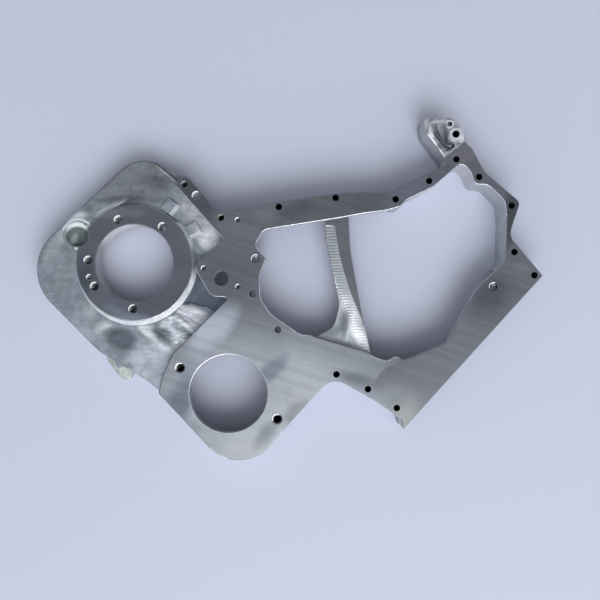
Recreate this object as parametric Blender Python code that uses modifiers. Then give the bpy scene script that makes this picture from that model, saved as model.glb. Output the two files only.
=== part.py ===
# Front gear housing of a mid-size diesel engine: one aluminium casting, machined on its joint faces.
# It lies on the face that takes the gear cover, with the face that meets the cylinder block up.
import math

import bmesh
import bpy
from mathutils import Matrix, Vector

# Every number below is in millimetres and is turned into metres when a mesh is made
MM = 0.001

# Heights above the gear cover face
CASE_DEPTH = 50.0
PLATE_THICKNESS = 11.0
PUMP_CASE_HEIGHT = 37.0
PUMP_CASE_ROOF = 8.0
PUMP_CASE_EDGE = 5.0
COVER_FLANGE_HEIGHT = 8.0
COVER_FLANGE_LIP = 1.5
WALL = 9.0
FACE_ALLOWANCE = 3.0

# Pump seat: a ring pad on the outside, a hub and a spigot on the gear side
PUMP_CENTRE = (-193.0, 32.5)
PUMP_BORE_RADIUS = 49.0
PUMP_PAD_RADIUS = 73.0
PUMP_PAD_HEIGHT = 43.0
PUMP_SKIRT_RADIUS = 80.1
PUMP_SKIRT_SHIFT = (4.4, -5.0)
PUMP_HUB_RADIUS = 66.0
PUMP_HUB_FOOT = 22.0
PUMP_SPIGOT_RADIUS = 56.0
PUMP_SPIGOT_FOOT = 13.0
PUMP_STUD_RADIUS = 5.0
PUMP_STUD_CIRCLE = 58.0
PUMP_STUD_ANGLES = (110.0, 52.0, 176.5, 210.5, 268.5)
PUMP_PIN_RADIUS = 3.2
PUMP_PIN_CIRCLE = 59.5
PUMP_PIN_ANGLE = 197.5

# Accessory drive bore in the thin plate
DRIVE_CENTRE = (-73.5, -131.0)
DRIVE_BORE_RADIUS = 49.0

# Holes in the block face
BOLT_RADIUS = 4.2
BOLT_BOSS_RADIUS = 9.5
EDGE_BOLTS = [
    (-129.0, 131.0), (-83.0, 89.0), (-10.5, 102.5), (60.5, 113.9), (177.5, 135.0), (211.5, 162.0),
    (240.0, 140.0), (280.5, 104.0), (284.0, 46.0), (309.0, 17.0), (137.0, -149.0), (101.0, -125.5),
    (61.5, -107.0),
]
RAIL_BOLT = (135.5, 112.0)
RAIL_BOSS_RADIUS = 11.0
INNER_BOLTS = [(-11.5, -51.0), (-43.0, -6.5)]
INNER_BOSS_FOOT = 24.0
OIL_HOLE = (-83.0, 13.0)
OIL_HOLE_RADIUS = 9.5
OIL_BOSS_RADIUS = 15.5
TAPPED_HOLES = [(-62.0, 86.0), (-104.5, 25.5), (-61.5, 2.5)]
TAPPED_HOLE_RADIUS = 2.8
DOWEL_HOLES = [(-113.5, 116.5), (-39.5, 37.5), (258.0, 2.5)]
DOWEL_RADIUS = 5.0
BLIND_DEPTH = 7.5
DRILL_POINT = 2.0
# Cover bolts, from the drive bore's centre
COVER_BOLTS = [(61.0, -32.0), (-60.5, 32.0)]
COVER_BOLT_RADIUS = 5.2
COVER_BOSS_RADIUS = 12.0

# Bridge between the two windows, below the block face
BRIDGE_TOP = 41.0
BRIDGE_STEP = 37.4
BRIDGE_FOOT = 14.0
SCALLOP_COUNT = 46
SCALLOP_DEPTH = 1.2
SCALLOP_WIDTH = 13.0
SCALLOP_FADE = 3.0
RAMP_REACH = 65.0

# Arm for the upper bracket; its lists below are taken from the boss
ARM_BOSS = (211.0, 193.5)
ARM_HOLE_RADIUS = 4.6
ARM_STEP_DEPTH = 2.0
ARM_SMALL_BOSS = (-7.5, 12.5)
ARM_SMALL_BOSS_RADIUS = 5.5
ARM_SMALL_BOSS_DROP = 0.8
ARM_SMALL_HOLE_RADIUS = 3.0
ARM_POCKET_FLOOR = 34.0
ARM_RIB_HEIGHT = 43.0
ARM_RIB_WIDTH = 3.5
ARM_RIB_EDGE = 1.0

# Cast details on the pump case, all placed from the pump's centre
SCOOP_PLACE = (-72.5, 35.5)
SCOOP_RADIUS = 17.5
SCOOP_HEIGHT = 41.5
SCOOP_RIM = 3.0
SCOOP_DEPTH = 7.5
SCOOP_SIDES = 32
PAD_WIDTH = 15.5
PAD_LENGTH = 12.5
PAD_SLOPE = 7.0
PAD_HEIGHT = 42.0
PAD_PLACES = [((43.6, 72.2), -38.0), ((73.2, 43.6), -62.0)]
MOUNDS = [
    ((72.5, -57.6), (25.0, 6.5, 3.6), -13.0), ((62.5, -73.5), (23.0, 7.5, 3.8), -28.0),
    ((27.5, -97.5), (29.0, 10.5, 4.6), -34.0), ((52.5, -99.5), (6.5, 5.0, 3.4), 0.0),
    ((-29.0, 70.5), (24.0, 3.5, 3.0), 32.7),
]
MOUND_SINK = 1.6
LOW_PAD_PLACE = (3.8, 77.5)
LOW_PAD_SIZE = (19.0, 8.4)
LOW_PAD_HEIGHT = 38.0
FLAT_FLOOR = 33.0
LUG_HEIGHT = 9.0
LUG_EDGE = 2.0
CREASE_HEIGHT = 31.0

# Oil pan face on the slanted side, with its tapped holes
PAN_BOLT_RADIUS = 4.2
PAN_BOLT_DEPTH = 19.0
PAN_BOLT_COUNT = 5
PAN_END_MARGIN = 26.0

HOLE_SIDES = 16
ROUND_SIDES = 24
BORE_SIDES = 72
CHORD_ERROR = 0.15
WELD_DISTANCE = 0.000004
MILL_SIZE = 900.0

# Outlines are lists of corners (x, y, corner radius), clockwise seen from the block face
TOP_RAIL = [
    (-85.0, 94.5, 15.0), (-21.5, 107.5, 180.0), (66.0, 120.3, 350.0), (127.0, 121.5, 56.0),
    (203.0, 157.5, 7.5),
]
RIGHT_SIDE = [(246.5, 146.5, 31.0), (291.5, 108.5, 7.5), (277.5, 66.5, 17.5)]
PAN_RAIL = [(319.5, 16.5, 1.0), (144.8, -176.3, 1.0)]
BOTTOM_EDGE = [(143.0, -163.5, 4.0), (111.0, -141.0, 75.0), (55.5, -110.0, 25.0)]
STEP_LINE = [
    (-143.5, -81.5, 25.0), (-73.0, -10.5, 2.5), (-95.5, -9.5, 12.5), (-117.0, 28.0, 10.0),
    (-80.5, 63.0, 2.5), (-142.0, 131.5, 9.0), (-128.0, 144.5, 9.0),
]
PUMP_ROOT = [
    (-131.0, 141.0, 9.0), (-112.0, 108.0, 12.0), (-68.0, 55.0, 12.0), (-68.0, -22.0, 12.0),
    (-128.0, -85.0, 12.0), (-133.0, -118.0, 12.0), (-157.0, -136.0, 10.0),
]
WINDOW = [
    (-41.5, 53.5, 10.0), (-29.5, 74.0, 12.5), (66.0, 89.0, 4.0), (98.5, 95.0, 50.0), (121.0, 97.5, 25.0),
    (143.5, 103.5, 12.5), (148.5, 111.0, 8.0), (183.5, 128.0, 37.5), (218.5, 158.5, 9.0),
    (229.5, 146.0, 7.5), (234.5, 130.5, 7.5), (251.0, 130.5, 15.0), (272.0, 110.0, 15.0),
    (274.5, 87.5, 37.5), (273.0, 33.5, 7.5), (237.0, 0.0, 50.0), (198.5, -68.5, 10.0),
    (157.0, -86.0, 25.0), (146.0, -89.5, 7.5), (136.0, -83.5, 7.5), (126.0, -91.0, 12.0),
    (106.0, -84.0, 12.5), (102.0, -79.5, 1.0), (31.0, -58.5, 1.0), (16.0, -57.0, 20.0),
    (-21.0, -31.5, 25.0), (-34.0, -11.5, 25.0), (-34.5, 17.5, 25.0), (-26.0, 39.0, 4.0),
]
# The inside of the case: these corners join the shared edges of the outline
CASE_WINDOW_SIDE = [
    (150.0, 122.0, 10.0), (262.0, 106.0, 15.0), (262.0, 36.0, 15.0), (292.0, 19.0, 12.0),
    (146.0, -148.0, 12.0),
]
CASE_STEP_SIDE = [(-160.0, -130.0, 10.0), (-150.0, -95.0, 20.0), (-72.0, -13.0, 14.0)]
PUMP_GEAR_SIDE = [(-140.0, 138.0, 20.0), (-42.0, 60.0, 14.0), (-42.0, -20.0, 14.0), (-150.0, -118.0, 12.0)]
BRIDGE_LEFT = [(59.5, -48.5, 20.0), (66.5, -20.5, 27.5), (49.5, 63.0, 75.0), (47.5, 97.0, 1.0)]
BRIDGE_RIGHT = [(77.0, 99.0, 1.0), (79.5, 49.0, 100.0), (92.0, -21.0, 200.0), (104.5, -79.5, 10.0)]
BRIDGE_ROOT = [(106.0, -100.0, 6.0), (60.0, -103.0, 6.0), (28.0, -66.0, 6.0)]
SCALLOP_LINE = [
    (53.5, 79.7), (56.5, 60.7), (60.0, 41.1), (65.3, 21.5), (71.3, 1.9), (78.8, -17.7), (88.0, -38.5),
    (94.8, -56.0), (104.0, -84.0),
]

# Corners taken from the pump's centre
PUMP_SHELL = [(16.0, -150.5, 25.0), (-47.5, -112.0, 50.0), (-152.3, -6.5, 60.5), (3.5, 142.0, 55.0)]
FLAT_POCKET = [
    (61.0, -6.0, 1.0), (55.0, -50.5, 1.0), (90.0, -55.5, 5.0), (110.0, -66.0, 1.0), (135.0, -41.0, 1.0),
    (101.0, -3.0, 1.0),
]
LUG = [
    (-45.0, -123.0, 5.0), (-36.0, -134.5, 8.0), (-29.0, -144.5, 6.0), (-21.5, -151.5, 4.0),
    (-11.5, -148.5, 4.0), (-7.0, -128.0, 5.0), (-30.0, -105.0, 5.0),
]
CREASE_CUT = [(9.1, 139.7, 1.0), (71.0, 89.1, 1.0), (95.0, 115.0, 1.0), (35.0, 165.0, 1.0)]

# Corners taken from the drive bore's centre
DRIVE_END = [(36.5, -83.5, 48.0), (-8.8, -83.5, 48.0)]
DRIVE_STEP = [(-87.5, 0.0, 4.0), (-83.5, 19.5, 37.5)]

# Corners taken from the arm's boss
ARM_END = [
    (-37.0, 2.0, 10.0), (-40.0, 19.0, 4.0), (-3.0, 21.0, 5.0), (12.0, -3.0, 5.0), (12.5, -11.5, 6.0),
    (20.0, -17.5, 5.0),
]
ARM_STEP = [
    (-21.0, -33.5, 1.0), (-5.0, -23.7, 2.0), (10.0, -11.2, 2.0), (34.0, -8.5, 1.0), (34.0, 36.5, 1.0),
    (-61.0, 36.5, 1.0), (-61.0, -23.5, 1.0),
]
ARM_BOSS_SHAPE = [(-8.2, 8.2, 8.1), (8.2, 8.2, 8.1), (10.5, -5.0, 3.0), (7.5, -11.5, 3.0), (-8.2, -8.2, 8.1)]
ARM_POCKET = [
    (-33.5, 14.0, 4.0), (-14.0, 15.0, 3.0), (-9.4, 3.5, 5.0), (-10.0, -6.5, 5.0), (2.0, -13.4, 3.0),
    (-10.5, -22.5, 3.0), (-30.5, 3.0, 8.0),
]
ARM_RIB = [(-25.0, 16.0), (-22.0, 4.5), (-15.0, -6.5), (-4.5, -13.5)]


def around(centre, corners):
    """Corners of the whole part, from corners that are given from a centre."""
    return [(centre[0] + x, centre[1] + y, *rest) for x, y, *rest in corners]


def shared_edge():
    """The outline from the top rail round to the drive bore's end."""
    return TOP_RAIL + around(ARM_BOSS, ARM_END) + RIGHT_SIDE + PAN_RAIL + BOTTOM_EDGE + around(
        DRIVE_CENTRE, DRIVE_END)


def collection(name):
    group = bpy.data.collections.new(name)
    bpy.context.scene.collection.children.link(group)
    return group


def signed_area(points):
    total = 0.0
    for here, there in zip(points, points[1:] + points[:1]):
        total += here[0] * there[1] - there[0] * here[1]
    return total / 2


def rounded(corners):
    """Turn corners with radii into points, each arc with a chord error of at most CHORD_ERROR."""
    points = []
    for index, (x, y, radius) in enumerate(corners):
        corner = Vector((x, y))
        before = Vector(corners[index - 1][:2]) - corner
        after = Vector(corners[(index + 1) % len(corners)][:2]) - corner
        half_turn = (math.pi - before.angle(after)) / 2
        reach = min(radius * math.tan(half_turn), 0.48 * before.length, 0.48 * after.length)
        if half_turn < 0.01 or reach < 0.2:
            points.append((x, y))
            continue
        radius = reach / math.tan(half_turn)
        inward = (before.normalized() + after.normalized()).normalized()
        middle = corner + inward * radius / math.cos(half_turn)
        start = corner + before.normalized() * reach - middle
        turn = math.copysign(2 * half_turn, before.y * after.x - before.x * after.y)
        step = 2 * math.acos(max(0.7, 1 - CHORD_ERROR / radius))
        count = max(1, math.ceil(2 * half_turn / step))
        for number in range(count + 1):
            arm = start.copy()
            arm.rotate(Matrix.Rotation(turn * number / count, 2))
            points.append(tuple(middle + arm))
    return points


def grown(corners, distance):
    """Move every side of an outline outwards by a distance, or inwards where it is negative."""
    side = math.copysign(1.0, signed_area([corner[:2] for corner in corners]))
    moved = []
    for index, (x, y, radius) in enumerate(corners):
        corner = Vector((x, y))
        before = (corner - Vector(corners[index - 1][:2])).normalized()
        after = (Vector(corners[(index + 1) % len(corners)][:2]) - corner).normalized()
        out_before = Vector((before.y, -before.x)) * side
        out_after = Vector((after.y, -after.x)) * side
        mitre = (out_before + out_after) / (1 + out_before.dot(out_after))
        convex = (before.x * after.y - before.y * after.x) * side > 0
        new_radius = radius + distance if convex else radius - distance
        place = corner + mitre * distance
        moved.append((place.x, place.y, max(0.5, new_radius)))
    return moved


def mesh_object(name, bm, group):
    for vert in bm.verts:
        vert.co *= MM
    bmesh.ops.recalc_face_normals(bm, faces=bm.faces)
    if bm.calc_volume(signed=True) < 0:
        bmesh.ops.reverse_faces(bm, faces=bm.faces)
    mesh = bpy.data.meshes.new(name)
    bm.to_mesh(mesh)
    bm.free()
    made = bpy.data.objects.new(name, mesh)
    group.objects.link(made)
    return made


def as_tool(made):
    made.hide_render = True
    made.display_type = 'WIRE'
    return made


def prism(name, points, low, high, group, top_edge=0.0):
    """Extrude an outline between two heights, with an edge of the given radius round its top."""
    bm = bmesh.new()
    face = bm.faces.new([bm.verts.new((x, y, low)) for x, y in points])
    lifted = bmesh.ops.extrude_face_region(bm, geom=[face])["geom"]
    top = [item for item in lifted if isinstance(item, bmesh.types.BMFace)][0]
    for vert in top.verts:
        vert.co.z = high
    if top_edge:
        bmesh.ops.bevel(
            bm, geom=list(top.edges), offset=top_edge, segments=3, profile=0.5, affect='EDGES',
            material=-1, clamp_overlap=False)
    return as_tool(mesh_object(name, bm, group))


def drum(name, centre, radius, low, high, group, sides=ROUND_SIDES):
    bm = bmesh.new()
    place = Matrix.Translation((centre[0], centre[1], (low + high) / 2))
    bmesh.ops.create_cone(
        bm, cap_ends=True, segments=sides, radius1=radius, radius2=radius, depth=high - low, matrix=place)
    return as_tool(mesh_object(name, bm, group))


def turned(name, centre, profile, group, sides=ROUND_SIDES):
    """Spin a profile of (radius, height) points, from top to bottom, round an upright axis."""
    mesh = bpy.data.meshes.new(name)
    points = [(radius * MM, 0.0, height * MM) for radius, height in profile]
    mesh.from_pydata(points, [(index, index + 1) for index in range(len(points) - 1)], [])
    made = bpy.data.objects.new(name, mesh)
    made.location = (centre[0] * MM, centre[1] * MM, 0.0)
    screw = made.modifiers.new("turn", 'SCREW')
    screw.steps = sides
    screw.render_steps = sides
    screw.use_merge_vertices = True
    screw.merge_threshold = 0.00002
    screw.use_normal_calculate = False
    group.objects.link(made)
    return as_tool(made)


def combine(body, tool, operation):
    step = body.modifiers.new(tool.name, 'BOOLEAN')
    step.object = tool
    step.operation = operation
    step.solver = 'EXACT'
    weld = body.modifiers.new(tool.name + "_weld", 'WELD')
    weld.merge_threshold = WELD_DISTANCE


def join(body, tool):
    combine(body, tool, 'UNION')


def cut(body, tool):
    combine(body, tool, 'DIFFERENCE')


def on_circle(centre, radius, angle):
    turn = math.radians(angle)
    return (centre[0] + radius * math.cos(turn), centre[1] + radius * math.sin(turn))


def cast_shell(parts, tools):
    """The outside of the casting: thick block plate, lower pump case and the cover flange."""
    outer = around(DRIVE_CENTRE, DRIVE_STEP) + STEP_LINE + shared_edge()
    body = prism("gear_housing", rounded(outer), COVER_FLANGE_HEIGHT / 2, CASE_DEPTH, parts)
    body.hide_render = False
    body.display_type = 'SOLID'
    shell = around(PUMP_CENTRE, PUMP_SHELL)
    outline = rounded(shell + PUMP_ROOT)
    case = prism("pump_case", outline, COVER_FLANGE_HEIGHT / 3, PUMP_CASE_HEIGHT, tools, PUMP_CASE_EDGE)
    corner = rounded(around(PUMP_CENTRE, CREASE_CUT))
    cut(case, prism("crease_cut", corner, CREASE_HEIGHT, CASE_DEPTH, tools))
    flat = rounded(around(PUMP_CENTRE, FLAT_POCKET))
    cut(case, prism("flat_pocket", flat, FLAT_FLOOR, CASE_DEPTH, tools))
    join(body, case)
    rim = rounded(grown(shell + PUMP_ROOT[:1] + shared_edge(), COVER_FLANGE_LIP))
    join(body, prism("cover_flange", rim, -FACE_ALLOWANCE, COVER_FLANGE_HEIGHT, tools))
    lug = rounded(around(PUMP_CENTRE, LUG))
    join(body, prism("flange_lug", lug, -FACE_ALLOWANCE - 1, LUG_HEIGHT, tools, LUG_EDGE))
    return body


def case_spaces(body, tools):
    """Hollow the case out from the gear side, round the bolt bosses."""
    roof = CASE_DEPTH - PLATE_THICKNESS
    pump_roof = PUMP_CASE_HEIGHT - PUMP_CASE_ROOF
    bottom = BOTTOM_EDGE[1:] + around(DRIVE_CENTRE, DRIVE_END)
    under_plate = grown(TOP_RAIL[:-1] + CASE_WINDOW_SIDE + bottom + CASE_STEP_SIDE, -WALL)
    space = prism("case_space", rounded(under_plate), -2 * FACE_ALLOWANCE, roof, tools)
    under_pump = grown(around(PUMP_CENTRE, PUMP_SHELL) + PUMP_GEAR_SIDE, -WALL)
    join(space, prism("pump_space", rounded(under_pump), -2 * FACE_ALLOWANCE - 1, pump_roof, tools))
    foot = -3 * FACE_ALLOWANCE
    for number, place in enumerate(EDGE_BOLTS):
        cut(space, drum("edge_boss_%d" % number, place, BOLT_BOSS_RADIUS, foot, CASE_DEPTH, tools))
    for number, place in enumerate(around(DRIVE_CENTRE, COVER_BOLTS)):
        cut(space, drum("cover_boss_%d" % number, place, COVER_BOSS_RADIUS, foot, CASE_DEPTH, tools))
    cut(body, space)
    cut(body, prism("window", rounded(WINDOW), -2 * FACE_ALLOWANCE, CASE_DEPTH + FACE_ALLOWANCE, tools))


def inner_bosses(body, tools):
    """Bosses that stop short of the cover face, and the long boss beside the window."""
    crown = CASE_DEPTH - FACE_ALLOWANCE
    for number, place in enumerate(INNER_BOLTS + DOWEL_HOLES[1:2]):
        join(body, drum("inner_boss_%d" % number, place, BOLT_BOSS_RADIUS, INNER_BOSS_FOOT, crown, tools))
    join(body, drum("oil_boss", OIL_HOLE, OIL_BOSS_RADIUS, INNER_BOSS_FOOT, crown, tools))
    join(body, drum("rail_boss", RAIL_BOLT, RAIL_BOSS_RADIUS, 1 - FACE_ALLOWANCE, crown, tools))


def pump_seat(body, tools):
    """Ring pad outside, hub and spigot inside, all round the pump bore."""
    in_roof = PUMP_CASE_HEIGHT - PUMP_CASE_ROOF / 2
    profile = [
        (0.0, PUMP_PAD_HEIGHT), (PUMP_PAD_RADIUS, PUMP_PAD_HEIGHT), (PUMP_PAD_RADIUS, in_roof),
        (PUMP_HUB_RADIUS, in_roof), (PUMP_HUB_RADIUS, PUMP_HUB_FOOT),
        (PUMP_SPIGOT_RADIUS, PUMP_HUB_FOOT), (PUMP_SPIGOT_RADIUS, PUMP_SPIGOT_FOOT), (0.0, PUMP_SPIGOT_FOOT),
    ]
    join(body, pump_skirt(in_roof - 1.5, tools))
    join(body, turned("pump_seat", PUMP_CENTRE, profile, tools, BORE_SIDES))


def pump_skirt(foot, tools):
    """The sloping side of the ring pad, widest towards the drive bore."""
    crown = PUMP_PAD_HEIGHT - 0.6
    middle = (crown + foot) / 2
    bm = bmesh.new()
    bmesh.ops.create_cone(
        bm, cap_ends=True, segments=BORE_SIDES, radius1=PUMP_SKIRT_RADIUS, radius2=PUMP_PAD_RADIUS + 0.4,
        depth=crown - foot, matrix=Matrix.Translation((*PUMP_CENTRE, middle)))
    for vert in bm.verts:
        if vert.co.z < middle:
            vert.co.xy += Vector(PUMP_SKIRT_SHIFT)
    return as_tool(mesh_object("pump_skirt", bm, tools))


def cast_details(body, tools):
    """Round scoop, two wedge pads, a plain low pad and mounds on the pump case."""
    scoop(body, tools)
    for number, (place, angle) in enumerate(PAD_PLACES):
        join(body, wedge_pad("wedge_pad_%d" % number, place, angle, tools))
    for number, (place, size, angle) in enumerate(MOUNDS):
        join(body, mound("mound_%d" % number, place, size, angle, tools))
    half_x = LOW_PAD_SIZE[0] / 2
    half_y = LOW_PAD_SIZE[1] / 2
    low = [(-half_x, half_y), (half_x, half_y), (half_x, -half_y), (-half_x, -half_y)]
    low = around(around(PUMP_CENTRE, [LOW_PAD_PLACE])[0], low)
    join(body, prism("low_pad", low, PUMP_CASE_HEIGHT - FACE_ALLOWANCE, LOW_PAD_HEIGHT, tools))


def scoop(body, tools):
    """A raised collar with a round dish sunk into it."""
    centre = around(PUMP_CENTRE, [SCOOP_PLACE])[0]
    root = PUMP_CASE_HEIGHT - 2.5
    collar = [
        (0.0, SCOOP_HEIGHT), (SCOOP_RADIUS - 1.5, SCOOP_HEIGHT), (SCOOP_RADIUS, SCOOP_HEIGHT - 1.5),
        (SCOOP_RADIUS + 2, root), (0.0, root),
    ]
    join(body, turned("scoop_collar", centre, collar, tools, SCOOP_SIDES))
    mouth = SCOOP_HEIGHT + FACE_ALLOWANCE
    dish_radius = SCOOP_RADIUS - SCOOP_RIM
    dish = [(0.0, mouth), (dish_radius + 1, mouth)]
    for number in range(5):
        turn = math.pi / 2 * number / 4
        dish.append((dish_radius * math.cos(turn), SCOOP_HEIGHT - 0.5 - SCOOP_DEPTH * math.sin(turn)))
    dish[-1] = (0.0, dish[-1][1])
    cut(body, turned("scoop_dish", centre, dish, tools, SCOOP_SIDES))


def wedge_pad(name, place, angle, tools):
    """A small raised block, level on top and sloping down on one side."""
    half = PAD_WIDTH / 2
    back = -PAD_LENGTH / 2
    front = PAD_LENGTH / 2
    root = PUMP_CASE_HEIGHT - FACE_ALLOWANCE - 0.3
    side = [(back, root), (back, PAD_HEIGHT), (front, PAD_HEIGHT), (front + PAD_SLOPE, root)]
    bm = bmesh.new()
    face = bm.faces.new([bm.verts.new((x, -half, z)) for x, z in side])
    lifted = bmesh.ops.extrude_face_region(bm, geom=[face])["geom"]
    for item in lifted:
        if isinstance(item, bmesh.types.BMVert):
            item.co.y = half
    centre = around(PUMP_CENTRE, [place])[0]
    turn = Matrix.Rotation(math.radians(angle), 4, 'Z')
    bmesh.ops.transform(bm, matrix=Matrix.Translation((*centre, 0.0)) @ turn, verts=bm.verts)
    return as_tool(mesh_object(name, bm, tools))


def mound(name, place, size, angle, tools):
    """A smooth low mound: the upper part of a long rounded body sunk into the case."""
    centre = around(PUMP_CENTRE, [place])[0]
    shape = Matrix.Translation((*centre, PUMP_CASE_HEIGHT - MOUND_SINK))
    shape = shape @ Matrix.Rotation(math.radians(angle), 4, 'Z') @ Matrix.Diagonal((*size, 1.0))
    bm = bmesh.new()
    bmesh.ops.create_uvsphere(bm, u_segments=20, v_segments=10, radius=1.0, matrix=shape)
    return as_tool(mesh_object(name, bm, tools))


def bridge(body, tools):
    """Recessed web between the windows, with a scalloped ramp milled along its left side."""
    outline = BRIDGE_LEFT + BRIDGE_RIGHT + BRIDGE_ROOT
    web = prism("bridge_web", rounded(outline), BRIDGE_FOOT, BRIDGE_TOP, tools)
    ramp = scalloped_ramp("bridge_ramp", tools)
    limit = prism("ramp_limit", rounded(grown(WINDOW, -0.4)), BRIDGE_FOOT, CASE_DEPTH + 9, tools)
    combine(ramp, limit, 'INTERSECT')
    cut(web, ramp)
    join(body, web)


def along(line, share):
    """The point and the direction at a share of the length of a line of points."""
    lengths = [math.dist(here, there) for here, there in zip(line, line[1:])]
    left = share * sum(lengths)
    for here, there, length in zip(line, line[1:], lengths):
        if left <= length or there == line[-1]:
            way = Vector(there) - Vector(here)
            return Vector(here) + way * (left / length), way.normalized()
        left -= length


def scalloped_ramp(name, tools):
    """A cutter whose underside slopes down from the bridge's top in a row of shallow scallops."""
    half = SCALLOP_WIDTH / 2
    middle = (BRIDGE_TOP + BRIDGE_STEP) / 2
    over = CASE_DEPTH + FACE_ALLOWANCE + 2
    bm = bmesh.new()
    rings = []
    for number in range(2 * SCALLOP_COUNT + 1):
        centre = along(SCALLOP_LINE, number / (2 * SCALLOP_COUNT))[0]
        depth = SCALLOP_DEPTH if number % 2 else 0.0
        section = [
            (-half, over), (-half, BRIDGE_TOP + 0.4 - depth), (0.0, middle - depth),
            (half, BRIDGE_STEP - depth), (half + SCALLOP_FADE, BRIDGE_STEP), (RAMP_REACH, BRIDGE_STEP),
            (RAMP_REACH, over),
        ]
        rings.append([bm.verts.new((centre.x - aside, centre.y, height)) for aside, height in section])
    for here, there in zip(rings, rings[1:]):
        for index in range(len(here)):
            after = (index + 1) % len(here)
            bm.faces.new([here[index], here[after], there[after], there[index]])
    bm.faces.new(rings[0])
    bm.faces.new(rings[-1])
    return as_tool(mesh_object(name, bm, tools))


def arm_end(body, tools):
    """Lower the end of the arm, then set its pocket, rib and two bosses."""
    above = CASE_DEPTH + FACE_ALLOWANCE
    skin = CASE_DEPTH - ARM_STEP_DEPTH
    cut(body, prism("arm_step", rounded(around(ARM_BOSS, ARM_STEP)), skin, above, tools))
    cut(body, prism("arm_pocket", rounded(around(ARM_BOSS, ARM_POCKET)), ARM_POCKET_FLOOR, above + 1, tools))
    root = skin - FACE_ALLOWANCE
    join(body, prism("arm_boss", rounded(around(ARM_BOSS, ARM_BOSS_SHAPE)), root, CASE_DEPTH, tools))
    small = around(ARM_BOSS, [ARM_SMALL_BOSS])[0]
    crown = CASE_DEPTH - ARM_SMALL_BOSS_DROP
    join(body, drum("arm_small_boss", small, ARM_SMALL_BOSS_RADIUS, root - 1, crown, tools))
    line = around(ARM_BOSS, ARM_RIB)
    left = []
    right = []
    for number in range(7):
        centre, way = along(line, number / 6)
        side = Vector((way.y, -way.x)) * ARM_RIB_WIDTH / 2
        left.append(tuple(centre + side))
        right.append(tuple(centre - side))
    foot = ARM_POCKET_FLOOR - FACE_ALLOWANCE
    join(body, prism("arm_rib", left + right[::-1], foot, ARM_RIB_HEIGHT, tools, ARM_RIB_EDGE))


def round_holes(body, tools):
    """Every round hole that is square to the block face."""
    below = -4 * FACE_ALLOWANCE
    above = CASE_DEPTH + FACE_ALLOWANCE
    studs = [on_circle(PUMP_CENTRE, PUMP_STUD_CIRCLE, angle) for angle in PUMP_STUD_ANGLES]
    through = [
        ("bolt_hole", EDGE_BOLTS + [RAIL_BOLT] + INNER_BOLTS, BOLT_RADIUS, HOLE_SIDES),
        ("cover_hole", around(DRIVE_CENTRE, COVER_BOLTS), COVER_BOLT_RADIUS, HOLE_SIDES),
        ("stud_hole", studs, PUMP_STUD_RADIUS, HOLE_SIDES),
        ("arm_hole", [ARM_BOSS], ARM_HOLE_RADIUS, HOLE_SIDES),
        ("oil_hole", [OIL_HOLE], OIL_HOLE_RADIUS, ROUND_SIDES),
        ("drive_bore", [DRIVE_CENTRE], DRIVE_BORE_RADIUS, BORE_SIDES),
        ("pump_bore", [PUMP_CENTRE], PUMP_BORE_RADIUS, BORE_SIDES),
    ]
    for name, places, radius, sides in through:
        for number, place in enumerate(places):
            cut(body, drum("%s_%d" % (name, number), place, radius, below, above, tools, sides))
    pin = on_circle(PUMP_CENTRE, PUMP_PIN_CIRCLE, PUMP_PIN_ANGLE)
    small = around(ARM_BOSS, [ARM_SMALL_BOSS])[0]
    blind = [
        ("tapped_hole", TAPPED_HOLES, TAPPED_HOLE_RADIUS, CASE_DEPTH),
        ("dowel_hole", DOWEL_HOLES, DOWEL_RADIUS, CASE_DEPTH),
        ("pin_hole", [pin], PUMP_PIN_RADIUS, PUMP_PAD_HEIGHT),
        ("arm_small_hole", [small], ARM_SMALL_HOLE_RADIUS, CASE_DEPTH - ARM_SMALL_BOSS_DROP),
    ]
    for name, places, radius, mouth in blind:
        for number, place in enumerate(places):
            blind_hole("%s_%d" % (name, number), body, place, radius, mouth, tools)


def blind_hole(name, body, place, radius, mouth, tools):
    """Drill a flat-sided hole of the blind depth, with the drill's point below it."""
    floor = mouth - BLIND_DEPTH
    above = mouth + FACE_ALLOWANCE + 2
    profile = [(0.0, above), (radius, above), (radius, floor), (0.0, floor - DRILL_POINT)]
    cut(body, turned(name, place, profile, tools, HOLE_SIDES))


def machined_faces(body, tools):
    """Mill the cover face and the oil pan face flat, and drill the pan bolts."""
    bm = bmesh.new()
    bmesh.ops.create_cube(bm, size=MILL_SIZE, matrix=Matrix.Translation((0.0, 0.0, -MILL_SIZE / 2)))
    cut(body, as_tool(mesh_object("cover_face_cut", bm, tools)))
    start = Vector(PAN_RAIL[0][:2])
    end = Vector(PAN_RAIL[1][:2])
    way = (end - start).normalized()
    out = Vector((-way.y, way.x))
    turn = Matrix.Rotation(math.atan2(out.y, out.x), 4, 'Z')
    middle = (start + end) / 2 + out * (MILL_SIZE / 2)
    bm = bmesh.new()
    bmesh.ops.create_cube(bm, size=MILL_SIZE, matrix=Matrix.Translation((middle.x, middle.y, 0.0)) @ turn)
    cut(body, as_tool(mesh_object("pan_face_cut", bm, tools)))
    span = (end - start).length - 2 * PAN_END_MARGIN
    length = PAN_BOLT_DEPTH + FACE_ALLOWANCE
    for number in range(PAN_BOLT_COUNT):
        mouth = start + way * (PAN_END_MARGIN + span * number / (PAN_BOLT_COUNT - 1))
        centre = mouth + out * (FACE_ALLOWANCE - length / 2)
        shape = Matrix.Translation((centre.x, centre.y, CASE_DEPTH / 2)) @ turn
        shape = shape @ Matrix.Rotation(math.radians(90), 4, 'Y')
        bm = bmesh.new()
        bmesh.ops.create_cone(
            bm, cap_ends=True, segments=HOLE_SIDES, radius1=PAN_BOLT_RADIUS, radius2=PAN_BOLT_RADIUS,
            depth=length, matrix=shape)
        cut(body, as_tool(mesh_object("pan_hole_%d" % number, bm, tools)))


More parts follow.
